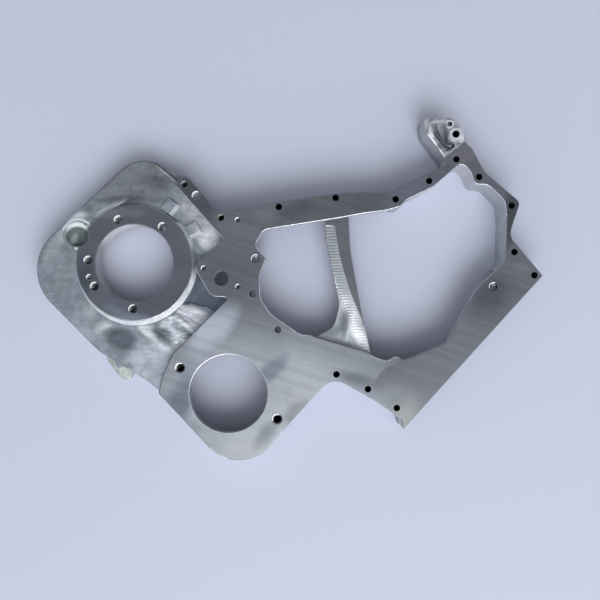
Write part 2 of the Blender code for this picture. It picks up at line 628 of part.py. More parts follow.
def aluminium():
    material = bpy.data.materials.new("cast_aluminium")
    material.use_nodes = True
    shader = material.node_tree.nodes["Principled BSDF"]
    shader.inputs["Base Color"].default_value = (0.42, 0.43, 0.44, 1.0)
    shader.inputs["Metallic"].default_value = 0.9
    shader.inputs["Roughness"].default_value = 0.42
    return material


def main():
    for old in list(bpy.data.objects):
        bpy.data.objects.remove(old)
    parts = collection("gear_housing")
    tools = collection("cutters_and_bosses")
    body = cast_shell(parts, tools)
    case_spaces(body, tools)
    inner_bosses(body, tools)
    pump_seat(body, tools)
    cast_details(body, tools)
    bridge(body, tools)
    arm_end(body, tools)
    machined_faces(body, tools)
    round_holes(body, tools)
    body.data.materials.append(aluminium())


main()
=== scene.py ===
# Gear housing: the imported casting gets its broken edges, milled faces, turned seat and cast skin
import math

import bmesh
import bpy
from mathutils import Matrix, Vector


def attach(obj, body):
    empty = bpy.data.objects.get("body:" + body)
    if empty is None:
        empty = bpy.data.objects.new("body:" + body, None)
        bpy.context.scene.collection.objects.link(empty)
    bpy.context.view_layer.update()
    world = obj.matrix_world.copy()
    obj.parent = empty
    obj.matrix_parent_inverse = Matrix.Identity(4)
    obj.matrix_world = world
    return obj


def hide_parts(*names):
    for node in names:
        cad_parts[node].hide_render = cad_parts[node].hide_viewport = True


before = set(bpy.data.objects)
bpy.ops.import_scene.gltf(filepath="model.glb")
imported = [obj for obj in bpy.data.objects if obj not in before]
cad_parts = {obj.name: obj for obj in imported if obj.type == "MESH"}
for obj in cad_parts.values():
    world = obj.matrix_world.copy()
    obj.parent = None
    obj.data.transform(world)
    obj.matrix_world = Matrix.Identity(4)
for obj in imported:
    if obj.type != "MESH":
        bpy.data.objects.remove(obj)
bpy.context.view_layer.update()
print("frame loaded")


def linearColour(red, green, blue):
    # a colour as a screen shows it, 0 to 255, turned into the linear values that shaders take
    values = []
    for level in (red, green, blue):
        share = level / 255
        values.append(share / 12.92 if share < 0.04045 else ((share + 0.055) / 1.055) ** 2.4)
    return (*values, 1.0)


def addNode(tree, kind, **settings):
    node = tree.nodes.new(kind)
    for name, value in settings.items():
        setattr(node, name, value)
    return node


def joinSockets(tree, pairs):
    for source, target in pairs:
        tree.links.new(source, target)


def startGroup(name, inputs, outputs):
    # inputs are (name, socket type, default), outputs are (name, socket type)
    group = bpy.data.node_groups.new(name, 'ShaderNodeTree')
    for label, kind, default in inputs:
        socket = group.interface.new_socket(label, in_out='INPUT', socket_type=kind)
        if default is not None:
            socket.default_value = default
    for label, kind in outputs:
        group.interface.new_socket(label, in_out='OUTPUT', socket_type=kind)
    return group, addNode(group, 'NodeGroupInput'), addNode(group, 'NodeGroupOutput')


def setSocket(tree, socket, value):
    # a plain value is written on the socket, and another node's output is linked to it
    if isinstance(value, (int, float, tuple)):
        socket.default_value = value
    else:
        tree.links.new(value, socket)


def mathNode(tree, operation, first, second):
    node = addNode(tree, 'ShaderNodeMath', operation=operation)
    setSocket(tree, node.inputs[0], first)
    setSocket(tree, node.inputs[1], second)
    return node.outputs[0]


def mixColour(tree, share, first, second, blend='MIX'):
    node = addNode(tree, 'ShaderNodeMix', data_type='RGBA', blend_type=blend)
    for socket, value in ((node.inputs[0], share), (node.inputs[6], first), (node.inputs[7], second)):
        setSocket(tree, socket, value)
    return node.outputs[2]


def rangeNode(tree, value, low, high, toLow=0.0, toHigh=1.0, smooth=True):
    node = addNode(tree, 'ShaderNodeMapRange', interpolation_type='SMOOTHSTEP' if smooth else 'LINEAR')
    limits = {"Value": value, "From Min": low, "From Max": high, "To Min": toLow, "To Max": toHigh}
    for name, given in limits.items():
        setSocket(tree, node.inputs[name], given)
    return node.outputs[0]


def noiseNode(tree, vector, scale, rough, detail=3.0, distort=0.0):
    node = addNode(tree, 'ShaderNodeTexNoise')
    tree.links.new(vector, node.inputs['Vector'])
    node.inputs['Scale'].default_value = scale
    node.inputs['Detail'].default_value = detail
    node.inputs['Roughness'].default_value = rough
    node.inputs['Distortion'].default_value = distort
    return node.outputs[0]


def makeSoftSpot():
    # a mask that is 1 over the core of a turned oval and fades to 0 at its edge
    group, given, made = startGroup(
        "softSpot",
        [("Vector", 'NodeSocketVector', None), ("Place", 'NodeSocketVector', None),
         ("Turn", 'NodeSocketVector', None), ("Size", 'NodeSocketVector', None),
         ("Core", 'NodeSocketFloat', 0.3)],
        [("Mask", 'NodeSocketFloat')])
    mapping = addNode(group, 'ShaderNodeMapping', vector_type='TEXTURE')
    reach = addNode(group, 'ShaderNodeVectorMath', operation='LENGTH')
    joinSockets(group, [
        (given.outputs["Vector"], mapping.inputs['Vector']),
        (given.outputs["Place"], mapping.inputs['Location']),
        (given.outputs["Turn"], mapping.inputs['Rotation']),
        (given.outputs["Size"], mapping.inputs['Scale']),
        (mapping.outputs[0], reach.inputs[0])])
    mask = rangeNode(group, reach.outputs['Value'], given.outputs["Core"], 1.0, 1.0, 0.0)
    group.links.new(mask, made.inputs["Mask"])
    return group


castGrainLooks = {
    "lumpScale": 120.0, "grainScale": 700.0, "cloudScale": 32.0, "grainHeight": 0.3,
    "cloudShare": 0.6, "lumpShare": 0.4, "mottleFrom": 0.36, "mottleTo": 0.64,
}


def makeCastGrain(looks):
    # blasted cast skin: lumps a few millimetres across with fine grain on them
    group, given, made = startGroup(
        "castGrain", [("Vector", 'NodeSocketVector', None)],
        [("Mottle", 'NodeSocketFloat'), ("Height", 'NodeSocketFloat')])
    vector = given.outputs["Vector"]
    lumps = noiseNode(group, vector, looks["lumpScale"], detail=4.0, rough=0.6, distort=0.3)
    grain = noiseNode(group, vector, looks["grainScale"], detail=2.0, rough=0.6)
    clouds = noiseNode(group, vector, looks["cloudScale"], detail=4.0, rough=0.6, distort=0.4)
    height = mathNode(group, 'ADD', lumps, mathNode(group, 'MULTIPLY', grain, looks["grainHeight"]))
    cloudPart = mathNode(group, 'MULTIPLY', clouds, looks["cloudShare"])
    lumpPart = mathNode(group, 'MULTIPLY', lumps, looks["lumpShare"])
    mottle = rangeNode(
        group, mathNode(group, 'ADD', cloudPart, lumpPart), looks["mottleFrom"], looks["mottleTo"])
    joinSockets(group, [(mottle, made.inputs["Mottle"]), (height, made.inputs["Height"])])
    return group


toolMarkLooks = {"alongScale": 9.0, "streakScale": 0.12, "streakFrom": 0.35, "streakTo": 0.65}


def makeToolMarks(looks):
    # fine parallel lines left by a cutter, drawn along X of the vector it is given
    group, given, made = startGroup(
        "toolMarks", [("Vector", 'NodeSocketVector', None), ("Pitch", 'NodeSocketFloat', 0.001)],
        [("Streak", 'NodeSocketFloat'), ("Height", 'NodeSocketFloat')])
    split = addNode(group, 'ShaderNodeSeparateXYZ')
    group.links.new(given.outputs["Vector"], split.inputs[0])
    along = mathNode(group, 'MULTIPLY', split.outputs['X'], looks["alongScale"])
    across = mathNode(group, 'DIVIDE', split.outputs['Y'], given.outputs["Pitch"])
    joined = addNode(group, 'ShaderNodeCombineXYZ')
    joinSockets(group, [(along, joined.inputs['X']), (across, joined.inputs['Y'])])
    fine = noiseNode(group, joined.outputs[0], 1.0, detail=2.0, rough=0.6)
    broad = noiseNode(group, joined.outputs[0], looks["streakScale"], detail=2.0, rough=0.5)
    streak = rangeNode(group, broad, looks["streakFrom"], looks["streakTo"])
    joinSockets(group, [(streak, made.inputs["Streak"]), (fine, made.inputs["Height"])])
    return group


def makeCutterRidges():
    # a row of short ridges across X of the vector it is given, as high as the mask is
    group, given, made = startGroup(
        "cutterRidges",
        [("Vector", 'NodeSocketVector', None), ("Pitch", 'NodeSocketFloat', 0.003),
         ("Mask", 'NodeSocketFloat', 1.0)],
        [("Ridge", 'NodeSocketFloat')])
    split = addNode(group, 'ShaderNodeSeparateXYZ')
    group.links.new(given.outputs["Vector"], split.inputs[0])
    turns = mathNode(group, 'DIVIDE', split.outputs['X'], given.outputs["Pitch"])
    wave = addNode(group, 'ShaderNodeMath', operation='SINE')
    group.links.new(mathNode(group, 'MULTIPLY', turns, 2 * math.pi), wave.inputs[0])
    ridge = mathNode(group, 'MULTIPLY', wave.outputs[0], given.outputs["Mask"])
    group.links.new(ridge, made.inputs["Ridge"])
    return group


softSpot = makeSoftSpot()
castGrain = makeCastGrain(castGrainLooks)
toolMarks = makeToolMarks(toolMarkLooks)
cutterRidges = makeCutterRidges()
print("shared node groups made")


def startMetal(name, metallic, roughness):
    material = bpy.data.materials.new(name)
    material.use_nodes = True
    tree = material.node_tree
    shader = tree.nodes["Principled BSDF"]
    shader.inputs["Metallic"].default_value = metallic
    shader.inputs["Roughness"].default_value = roughness
    place = addNode(tree, 'ShaderNodeTexCoord').outputs['Object']
    return material, tree, shader, place


spotHeight = 9.0  # metres, so far past the part that a spot shows at every height


def addSpot(tree, vector, spot):
    # spot is (x, y, turn in degrees, half length, half width, core), lengths in metres
    x, y, turn, halfLength, halfWidth, core = spot
    node = addNode(tree, 'ShaderNodeGroup', node_tree=softSpot)
    tree.links.new(vector, node.inputs["Vector"])
    node.inputs["Place"].default_value = (x, y, 0.0)
    node.inputs["Turn"].default_value = (0.0, 0.0, math.radians(turn))
    node.inputs["Size"].default_value = (halfLength, halfWidth, spotHeight)
    node.inputs["Core"].default_value = core
    return node.outputs[0]


def paintAreas(tree, vector, colour, areas):
    # each area is a soft spot's six values, the colour it has there, the share of that colour
    # and sometimes a second spot, outside which the first one doesn't show
    for area in areas:
        spot, tone, share, limits = area[0:6], area[6], area[7], area[8:]
        mask = mathNode(tree, 'MULTIPLY', addSpot(tree, vector, spot), share)
        for limit in limits:
            mask = mathNode(tree, 'MULTIPLY', mask, addSpot(tree, vector, limit))
        colour = mixColour(tree, mask, colour, linearColour(*tone))
    return colour


def unevenVector(tree, vector, uneven):
    # shifts the places of the soft areas about, so that no oval shows; uneven is (scale, reach)
    scale, reach = uneven
    noise = addNode(tree, 'ShaderNodeTexNoise')
    noise.inputs['Scale'].default_value = scale
    noise.inputs['Detail'].default_value = 3.0
    tree.links.new(vector, noise.inputs['Vector'])
    shift = addNode(tree, 'ShaderNodeVectorMath', operation='MULTIPLY_ADD')
    shift.inputs[1].default_value = (reach, reach, 0.0)
    shift.inputs[2].default_value = (-reach / 2, -reach / 2, 0.0)
    moved = addNode(tree, 'ShaderNodeVectorMath', operation='ADD')
    joinSockets(tree, [
        (noise.outputs['Color'], shift.inputs[0]), (vector, moved.inputs[0]),
        (shift.outputs[0], moved.inputs[1])])
    return moved.outputs[0]


def turnedVector(tree, vector, degrees, scale=(1.0, 1.0, 1.0)):
    mapping = addNode(tree, 'ShaderNodeMapping')
    mapping.inputs['Rotation'].default_value = (0.0, 0.0, math.radians(degrees))
    mapping.inputs['Scale'].default_value = scale
    tree.links.new(vector, mapping.inputs['Vector'])
    return mapping.outputs[0]


def shadeColour(tree, colour, value, low, high):
    # darkens a colour where a value is low and lightens it where it is high, fully at 0.25 and 0.75
    return mixColour(tree, 1.0, colour, rangeNode(tree, value, 0.25, 0.75, low, high), blend='MULTIPLY')


def spreadRoughness(tree, shader, value, start, spread):
    rough = mathNode(tree, 'ADD', mathNode(tree, 'MULTIPLY', value, spread), start)
    tree.links.new(rough, shader.inputs["Roughness"])


def addBump(tree, shader, height, strength, distance):
    bump = addNode(tree, 'ShaderNodeBump')
    bump.inputs['Strength'].default_value = strength
    bump.inputs['Distance'].default_value = distance
    tree.links.new(height, bump.inputs['Height'])
    tree.links.new(bump.outputs[0], shader.inputs['Normal'])


milling = {
    "tone": (104, 108, 112), "roughness": 0.36, "metallic": 0.85, "marksTurn": 18.0, "pitch": 0.0009,
    # the areas are painted reflection: the face is lighter over its lower half and darker along the top
    # rail and on the right, with lighter and darker spots
    "areas": [
        (-0.047, -0.148, 0.0, 0.240, 0.152, 0.25, (158, 163, 167), 1.00),
        (-0.059, -0.204, 0.0, 0.075, 0.030, 0.20, (158, 161, 160), 0.60),
        (-0.093, -0.050, 45.0, 0.052, 0.028, 0.30, (184, 189, 195), 0.90),
        (-0.034, -0.002, 0.0, 0.020, 0.018, 0.20, (106, 110, 116), 0.80),
        (0.013, -0.156, 45.0, 0.034, 0.016, 0.30, (128, 131, 133), 0.85),
        (-0.122, -0.176, 0.0, 0.020, 0.020, 0.20, (140, 144, 148), 0.80),
        (-0.136, -0.142, 65.0, 0.064, 0.025, 0.30, (106, 115, 125), 0.90),
        (-0.024, -0.104, 40.0, 0.044, 0.017, 0.30, (112, 118, 126), 0.75),
        (0.015, -0.129, 30.0, 0.037, 0.018, 0.30, (154, 157, 158), 0.70),
        (-0.026, -0.182, 50.0, 0.040, 0.014, 0.10, (112, 116, 118), 0.75),
        (0.176, -0.095, 45.0, 0.058, 0.033, 0.30, (104, 107, 109), 0.85),
        (0.250, -0.010, 45.0, 0.048, 0.030, 0.20, (74, 77, 84), 0.85),
        (0.262, 0.076, 60.0, 0.034, 0.014, 0.20, (72, 74, 78), 0.90),
        (0.293, 0.029, 0.0, 0.020, 0.018, 0.20, (118, 119, 120), 0.80),
        (0.051, 0.101, 8.0, 0.119, 0.028, 0.40, (95, 98, 100), 0.85),
        (-0.024, 0.094, 0.0, 0.026, 0.016, 0.20, (116, 119, 123), 0.70),
        (0.015, 0.100, 8.0, 0.030, 0.016, 0.20, (80, 83, 85), 0.70),
        (0.160, 0.126, 25.0, 0.056, 0.015, 0.30, (108, 112, 120), 0.80),
        (-0.060, 0.066, 0.0, 0.044, 0.036, 0.30, (116, 119, 122), 0.75),
        (-0.104, 0.090, -40.0, 0.024, 0.014, 0.20, (88, 91, 95), 0.85),
        (-0.114, 0.117, -45.0, 0.043, 0.020, 0.40, (84, 86, 89), 0.90),
        (0.218, 0.171, 0.0, 0.030, 0.018, 0.40, (122, 120, 124), 0.80),
        (0.277, 0.089, 80.0, 0.050, 0.015, 0.40, (72, 75, 78), 0.85),
    ],
    # areas painted where they are given: the round edge of a cutter pass, a brown stain near the arm and a
    # few lighter and darker spots
    "exactAreas": [
        (0.088, -0.113, -14.0, 0.046, 0.014, 0.10, (96, 100, 103), 0.85),
        (0.150, -0.135, 0.0, 0.046, 0.046, 0.95, (92, 95, 98), 0.70,
         (0.122, -0.108, 30.0, 0.040, 0.026, 0.10)),
        (0.134, -0.112, -30.0, 0.018, 0.010, 0.10, (104, 107, 110), 0.80),
        (0.146, -0.158, 50.0, 0.034, 0.024, 0.20, (136, 139, 136), 0.90),
        (0.215, 0.178, 0.0, 0.0045, 0.0055, 0.30, (130, 112, 108), 0.60),
    ],
}


rampMilling = {
    "tone": (172, 177, 180), "roughness": 0.42, "metallic": 0.5, "marksTurn": -72.0, "pitch": 0.0016,
    "handStreaks": (0.88, 1.12), "handStretch": (70.0, 420.0, 60.0),
    # the areas paint light and shade on the scallops: the bright band along the ramp is a painted
    # highlight, the darker patches painted shade
    "areas": [
        (0.054, 0.067, 0.0, 0.018, 0.040, 0.30, (150, 156, 158), 0.80),
        (0.086, -0.040, -68.0, 0.050, 0.011, 0.35, (226, 229, 231), 0.95),
        (0.073, -0.071, -15.0, 0.020, 0.007, 0.30, (140, 146, 150), 0.80),
    ],
    # the bright thin lines across the scallops are painted highlights, the darker strips painted shade
    "exactAreas": [
        (0.058, -0.052, 0.0, 0.026, 0.013, 0.20, (116, 122, 128), 0.85),
        (0.072, -0.042, 80.0, 0.030, 0.013, 0.10, (100, 106, 112), 0.95),
        (0.077, -0.056, 77.0, 0.018, 0.0026, 0.30, (190, 195, 199), 0.80),
        (0.066, -0.060, 70.0, 0.010, 0.0022, 0.30, (168, 174, 179), 0.60),
        (0.095, -0.064, -62.0, 0.024, 0.009, 0.30, (240, 242, 243), 0.95),
    ],
}

cutterWork = {
    "uneven": (16.0, 0.022), "cloudScale": 14.0, "clouds": (0.90, 1.10), "streaks": (0.975, 1.025),
    "roughSpread": 0.08, "bump": 0.08, "bumpDepth": 0.0002,
}


def makeMilledFace(name, settings, areas, exactAreas):
    material, tree, shader, place = startMetal(name, settings["metallic"], settings["roughness"])
    marks = addNode(tree, 'ShaderNodeGroup', node_tree=toolMarks)
    marks.inputs["Pitch"].default_value = settings["pitch"]
    tree.links.new(turnedVector(tree, place, settings["marksTurn"]), marks.inputs["Vector"])
    clouds = noiseNode(tree, place, cutterWork["cloudScale"], rough=0.5, distort=0.3)
    uneven = unevenVector(tree, place, cutterWork["uneven"])
    colour = paintAreas(tree, uneven, linearColour(*settings["tone"]), areas)
    colour = paintAreas(tree, place, colour, exactAreas)
    colour = shadeColour(tree, colour, clouds, *cutterWork["clouds"])
    colour = shadeColour(tree, colour, marks.outputs["Streak"], *cutterWork["streaks"])
    if "handStreaks" in settings:
        hand = turnedVector(tree, place, settings["marksTurn"], settings["handStretch"])
        colour = shadeColour(tree, colour, noiseNode(tree, hand, 1.0, rough=0.6), *settings["handStreaks"])
    tree.links.new(colour, shader.inputs["Base Color"])
    spreadRoughness(tree, shader, marks.outputs["Streak"], settings["roughness"], cutterWork["roughSpread"])
    addBump(tree, shader, marks.outputs["Height"], cutterWork["bump"], cutterWork["bumpDepth"])
    return material


turning = {
    "tone": (98, 102, 108), "roughness": 0.30, "metallic": 0.85, "centre": (-0.193, 0.0325, 0.0),
    "ringScale": 900.0, "rings": (0.95, 1.05), "cloudScale": 24.0, "clouds": (0.86, 1.14),
    "uneven": (30.0, 0.010), "roughSpread": 0.12, "bump": 0.12, "bumpDepth": 0.00015,
    "areas": [
        (-0.193, -0.042, 0.0, 0.048, 0.015, 0.20, (140, 146, 154), 0.85),
        (-0.214, -0.030, -25.0, 0.026, 0.012, 0.20, (132, 139, 146), 0.60),
        (-0.254, 0.014, 80.0, 0.048, 0.015, 0.20, (80, 86, 94), 0.75),
        (-0.208, 0.096, 0.0, 0.040, 0.012, 0.20, (126, 130, 135), 0.70),
    ],
}


def makeTurnedFace(settings):
    material, tree, shader, place = startMetal("turnedFace", settings["metallic"], settings["roughness"])
    offset = addNode(tree, 'ShaderNodeVectorMath', operation='SUBTRACT')
    offset.inputs[1].default_value = settings["centre"]
    flat = addNode(tree, 'ShaderNodeVectorMath', operation='MULTIPLY')
    flat.inputs[1].default_value = (1.0, 1.0, 0.0)
    reach = addNode(tree, 'ShaderNodeVectorMath', operation='LENGTH')
    joinSockets(tree, [
        (place, offset.inputs[0]), (offset.outputs[0], flat.inputs[0]), (flat.outputs[0], reach.inputs[0])])
    rings = noiseNode(tree, reach.outputs['Value'], settings["ringScale"], detail=2.0, rough=0.6)
    clouds = noiseNode(tree, place, settings["cloudScale"], rough=0.5, distort=0.3)
    uneven = unevenVector(tree, place, settings["uneven"])
    colour = paintAreas(tree, uneven, linearColour(*settings["tone"]), settings["areas"])
    colour = shadeColour(tree, colour, clouds, *settings["clouds"])
    colour = shadeColour(tree, colour, rings, *settings["rings"])
    tree.links.new(colour, shader.inputs["Base Color"])
    spreadRoughness(tree, shader, rings, settings["roughness"], settings["roughSpread"])
    addBump(tree, shader, rings, settings["bump"], settings["bumpDepth"])
    return material


castSkin = {
    "tone": (128, 136, 143), "roughness": 0.50, "metallic": 0.50, "marksTurn": 42.0,
    "uneven": (28.0, 0.016), "unevenLines": (60.0, 0.002), "mottle": (0.87, 1.12),
    "brushing": (0.86, 1.15), "brushStretch": (30.0, 150.0, 60.0),
    # a short row of cutter ridges on one mound, and the scraped mounds round it
    "ridgeSpot": (-0.1575, -0.069, -37.0, 0.019, 0.0085, 0.6), "ridgeTurn": 37.0, "ridgePitch": 0.0029,
    "ridges": (0.76, 1.24), "ridgeHeight": 0.35,
    "scrapeSpot": (-0.140, -0.048, -5.0, 0.050, 0.030, 0.5), "scrapeTurn": 50.0,
    "scrapes": (0.58, 1.30), "scrapeStretch": (110.0, 430.0, 60.0),
    "roughSpread": 0.14, "bump": 0.30, "bumpDepth": 0.0012,
    # the areas paint light and shade: the skin is darker at the top and lighter towards the bottom, lighter
    # still on the mounds below the pad against the shadow of the step, with painted highlights and shade
    # round the scoop
    "areas": [
        (-0.192, 0.134, 8.0, 0.084, 0.043, 0.35, (110, 115, 119), 0.95),
        (-0.234, 0.090, 30.0, 0.014, 0.008, 0.30, (150, 155, 159), 0.70),
        (-0.208, 0.113, 5.0, 0.052, 0.010, 0.30, (82, 86, 90), 0.80),
        (-0.166, 0.136, 0.0, 0.030, 0.013, 0.20, (84, 88, 92), 0.75),
        (-0.200, 0.108, 0.0, 0.028, 0.006, 0.20, (92, 96, 99), 0.60),
        (-0.230, 0.098, 34.0, 0.041, 0.005, 0.20, (168, 173, 177), 0.75),
        (-0.294, 0.057, 58.0, 0.036, 0.014, 0.20, (168, 174, 179), 0.70),
        (-0.280, 0.022, 80.0, 0.034, 0.016, 0.20, (124, 132, 136), 0.60),
        (-0.247, -0.056, -42.0, 0.041, 0.019, 0.30, (146, 154, 161), 0.80),
        (-0.234, -0.047, 30.0, 0.018, 0.009, 0.30, (184, 190, 195), 0.80),
        (-0.168, 0.112, 0.0, 0.016, 0.007, 0.30, (90, 93, 97), 0.70),
        (-0.168, -0.100, -45.0, 0.056, 0.034, 0.35, (172, 179, 187), 0.95),
        (-0.155, -0.060, -38.0, 0.046, 0.024, 0.40, (184, 190, 196), 0.90),
        (-0.210, -0.062, -25.0, 0.024, 0.018, 0.45, (84, 95, 102), 1.00),
        (-0.159, -0.055, -48.0, 0.024, 0.012, 0.20, (96, 105, 111), 0.95),
        (-0.250, -0.030, -60.0, 0.020, 0.010, 0.30, (150, 158, 163), 0.70),
        (-0.152, -0.043, 32.0, 0.018, 0.006, 0.30, (212, 216, 220), 0.80),
        (-0.136, -0.065, 0.0, 0.012, 0.012, 0.20, (222, 226, 230), 0.85),
        (-0.122, -0.036, -32.0, 0.036, 0.022, 0.45, (206, 210, 216), 0.95),
        (-0.111, 0.085, -52.0, 0.055, 0.021, 0.40, (164, 167, 172), 0.95),
        (-0.100, 0.061, -45.0, 0.024, 0.015, 0.40, (206, 209, 213), 0.80),
        (-0.230, -0.098, -55.0, 0.017, 0.008, 0.40, (170, 178, 170), 0.90),
        (-0.209, -0.110, 0.0, 0.015, 0.012, 0.50, (186, 195, 187), 0.90),
        (-0.264, 0.091, 30.0, 0.018, 0.007, 0.30, (196, 202, 203), 0.60),
        (-0.243, 0.091, 30.0, 0.008, 0.006, 0.30, (96, 101, 104), 0.80),
        (-0.285, 0.072, 70.0, 0.020, 0.008, 0.30, (170, 177, 180), 0.60),
        (-0.259, 0.051, -20.0, 0.006, 0.0025, 0.30, (236, 240, 240), 0.90),
        (-0.250, 0.102, 30.0, 0.016, 0.007, 0.20, (98, 102, 104), 0.60),
    ],
    # narrow lines and rings: a bright rim along the upper side of the scoop as a painted highlight, with a
    # darker ring on its left, a pale line along the crease at the top corner, two pale lines above the pad,
    # and light and dark streaks on the mounds below it
    "lines": [
        (-0.2755, 0.0915, 35.0, 0.014, 0.0060, 0.30, (206, 211, 213), 0.80),
        (-0.2655, 0.068, 0.0, 0.0225, 0.0225, 0.90, (232, 237, 238), 1.00,
         (-0.268, 0.084, 10.0, 0.026, 0.016, 0.50)),
        (-0.2655, 0.068, 0.0, 0.0195, 0.0195, 0.95, (132, 138, 140), 0.60,
         (-0.283, 0.066, 80.0, 0.018, 0.008, 0.40)),
        (-0.1545, 0.1468, -39.3, 0.022, 0.0009, 0.60, (176, 174, 168), 0.80),
        (-0.2264, 0.1028, 24.0, 0.028, 0.0024, 0.40, (180, 184, 186), 0.70),
        (-0.1794, -0.0533, -40.0, 0.017, 0.0075, 0.30, (222, 226, 229), 0.95),
        (-0.1300, -0.0395, -38.0, 0.020, 0.0022, 0.30, (116, 122, 128), 0.70),
        (-0.1230, -0.0520, -40.0, 0.022, 0.0030, 0.30, (228, 231, 234), 0.60),
        (-0.2370, 0.0945, 24.0, 0.016, 0.0035, 0.30, (168, 173, 176), 0.75),
    ],
}


def makeCastSkin(name, settings, areas, lines):
    # the skin was blended by hand, so light streaks run over it from the upper left
    material, tree, shader, place = startMetal(name, settings["metallic"], settings["roughness"])
    grain = addNode(tree, 'ShaderNodeGroup', node_tree=castGrain)
    tree.links.new(place, grain.inputs["Vector"])
    hand = turnedVector(tree, place, settings["marksTurn"], settings["brushStretch"])
    brushed = noiseNode(tree, hand, 1.0, rough=0.6)
    uneven = unevenVector(tree, place, settings["uneven"])
    colour = paintAreas(tree, uneven, linearColour(*settings["tone"]), areas)
    colour = shadeColour(tree, colour, grain.outputs["Mottle"], *settings["mottle"])
    colour = shadeColour(tree, colour, brushed, *settings["brushing"])
    if lines:
        colour = paintAreas(tree, unevenVector(tree, place, settings["unevenLines"]), colour, lines)
    ridges = addNode(tree, 'ShaderNodeGroup', node_tree=cutterRidges)
    ridges.inputs["Pitch"].default_value = settings["ridgePitch"]
    tree.links.new(addSpot(tree, place, settings["ridgeSpot"]), ridges.inputs["Mask"])
    tree.links.new(turnedVector(tree, place, settings["ridgeTurn"]), ridges.inputs["Vector"])
    ridged = rangeNode(tree, ridges.outputs["Ridge"], -1.0, 1.0, *settings["ridges"], smooth=False)
    colour = mixColour(tree, 1.0, colour, ridged, blend='MULTIPLY')
    scraper = turnedVector(tree, place, settings["scrapeTurn"], settings["scrapeStretch"])
    scraped = shadeColour(tree, colour, noiseNode(tree, scraper, 1.0, rough=0.65), *settings["scrapes"])
    colour = mixColour(tree, addSpot(tree, place, settings["scrapeSpot"]), colour, scraped)
    tree.links.new(colour, shader.inputs["Base Color"])
    spreadRoughness(tree, shader, grain.outputs["Mottle"], settings["roughness"], settings["roughSpread"])
    ridgeRise = mathNode(tree, 'MULTIPLY', ridges.outputs["Ridge"], settings["ridgeHeight"])
    height = mathNode(tree, 'ADD', grain.outputs["Height"], ridgeRise)
    addBump(tree, shader, height, settings["bump"], settings["bumpDepth"])
    return material


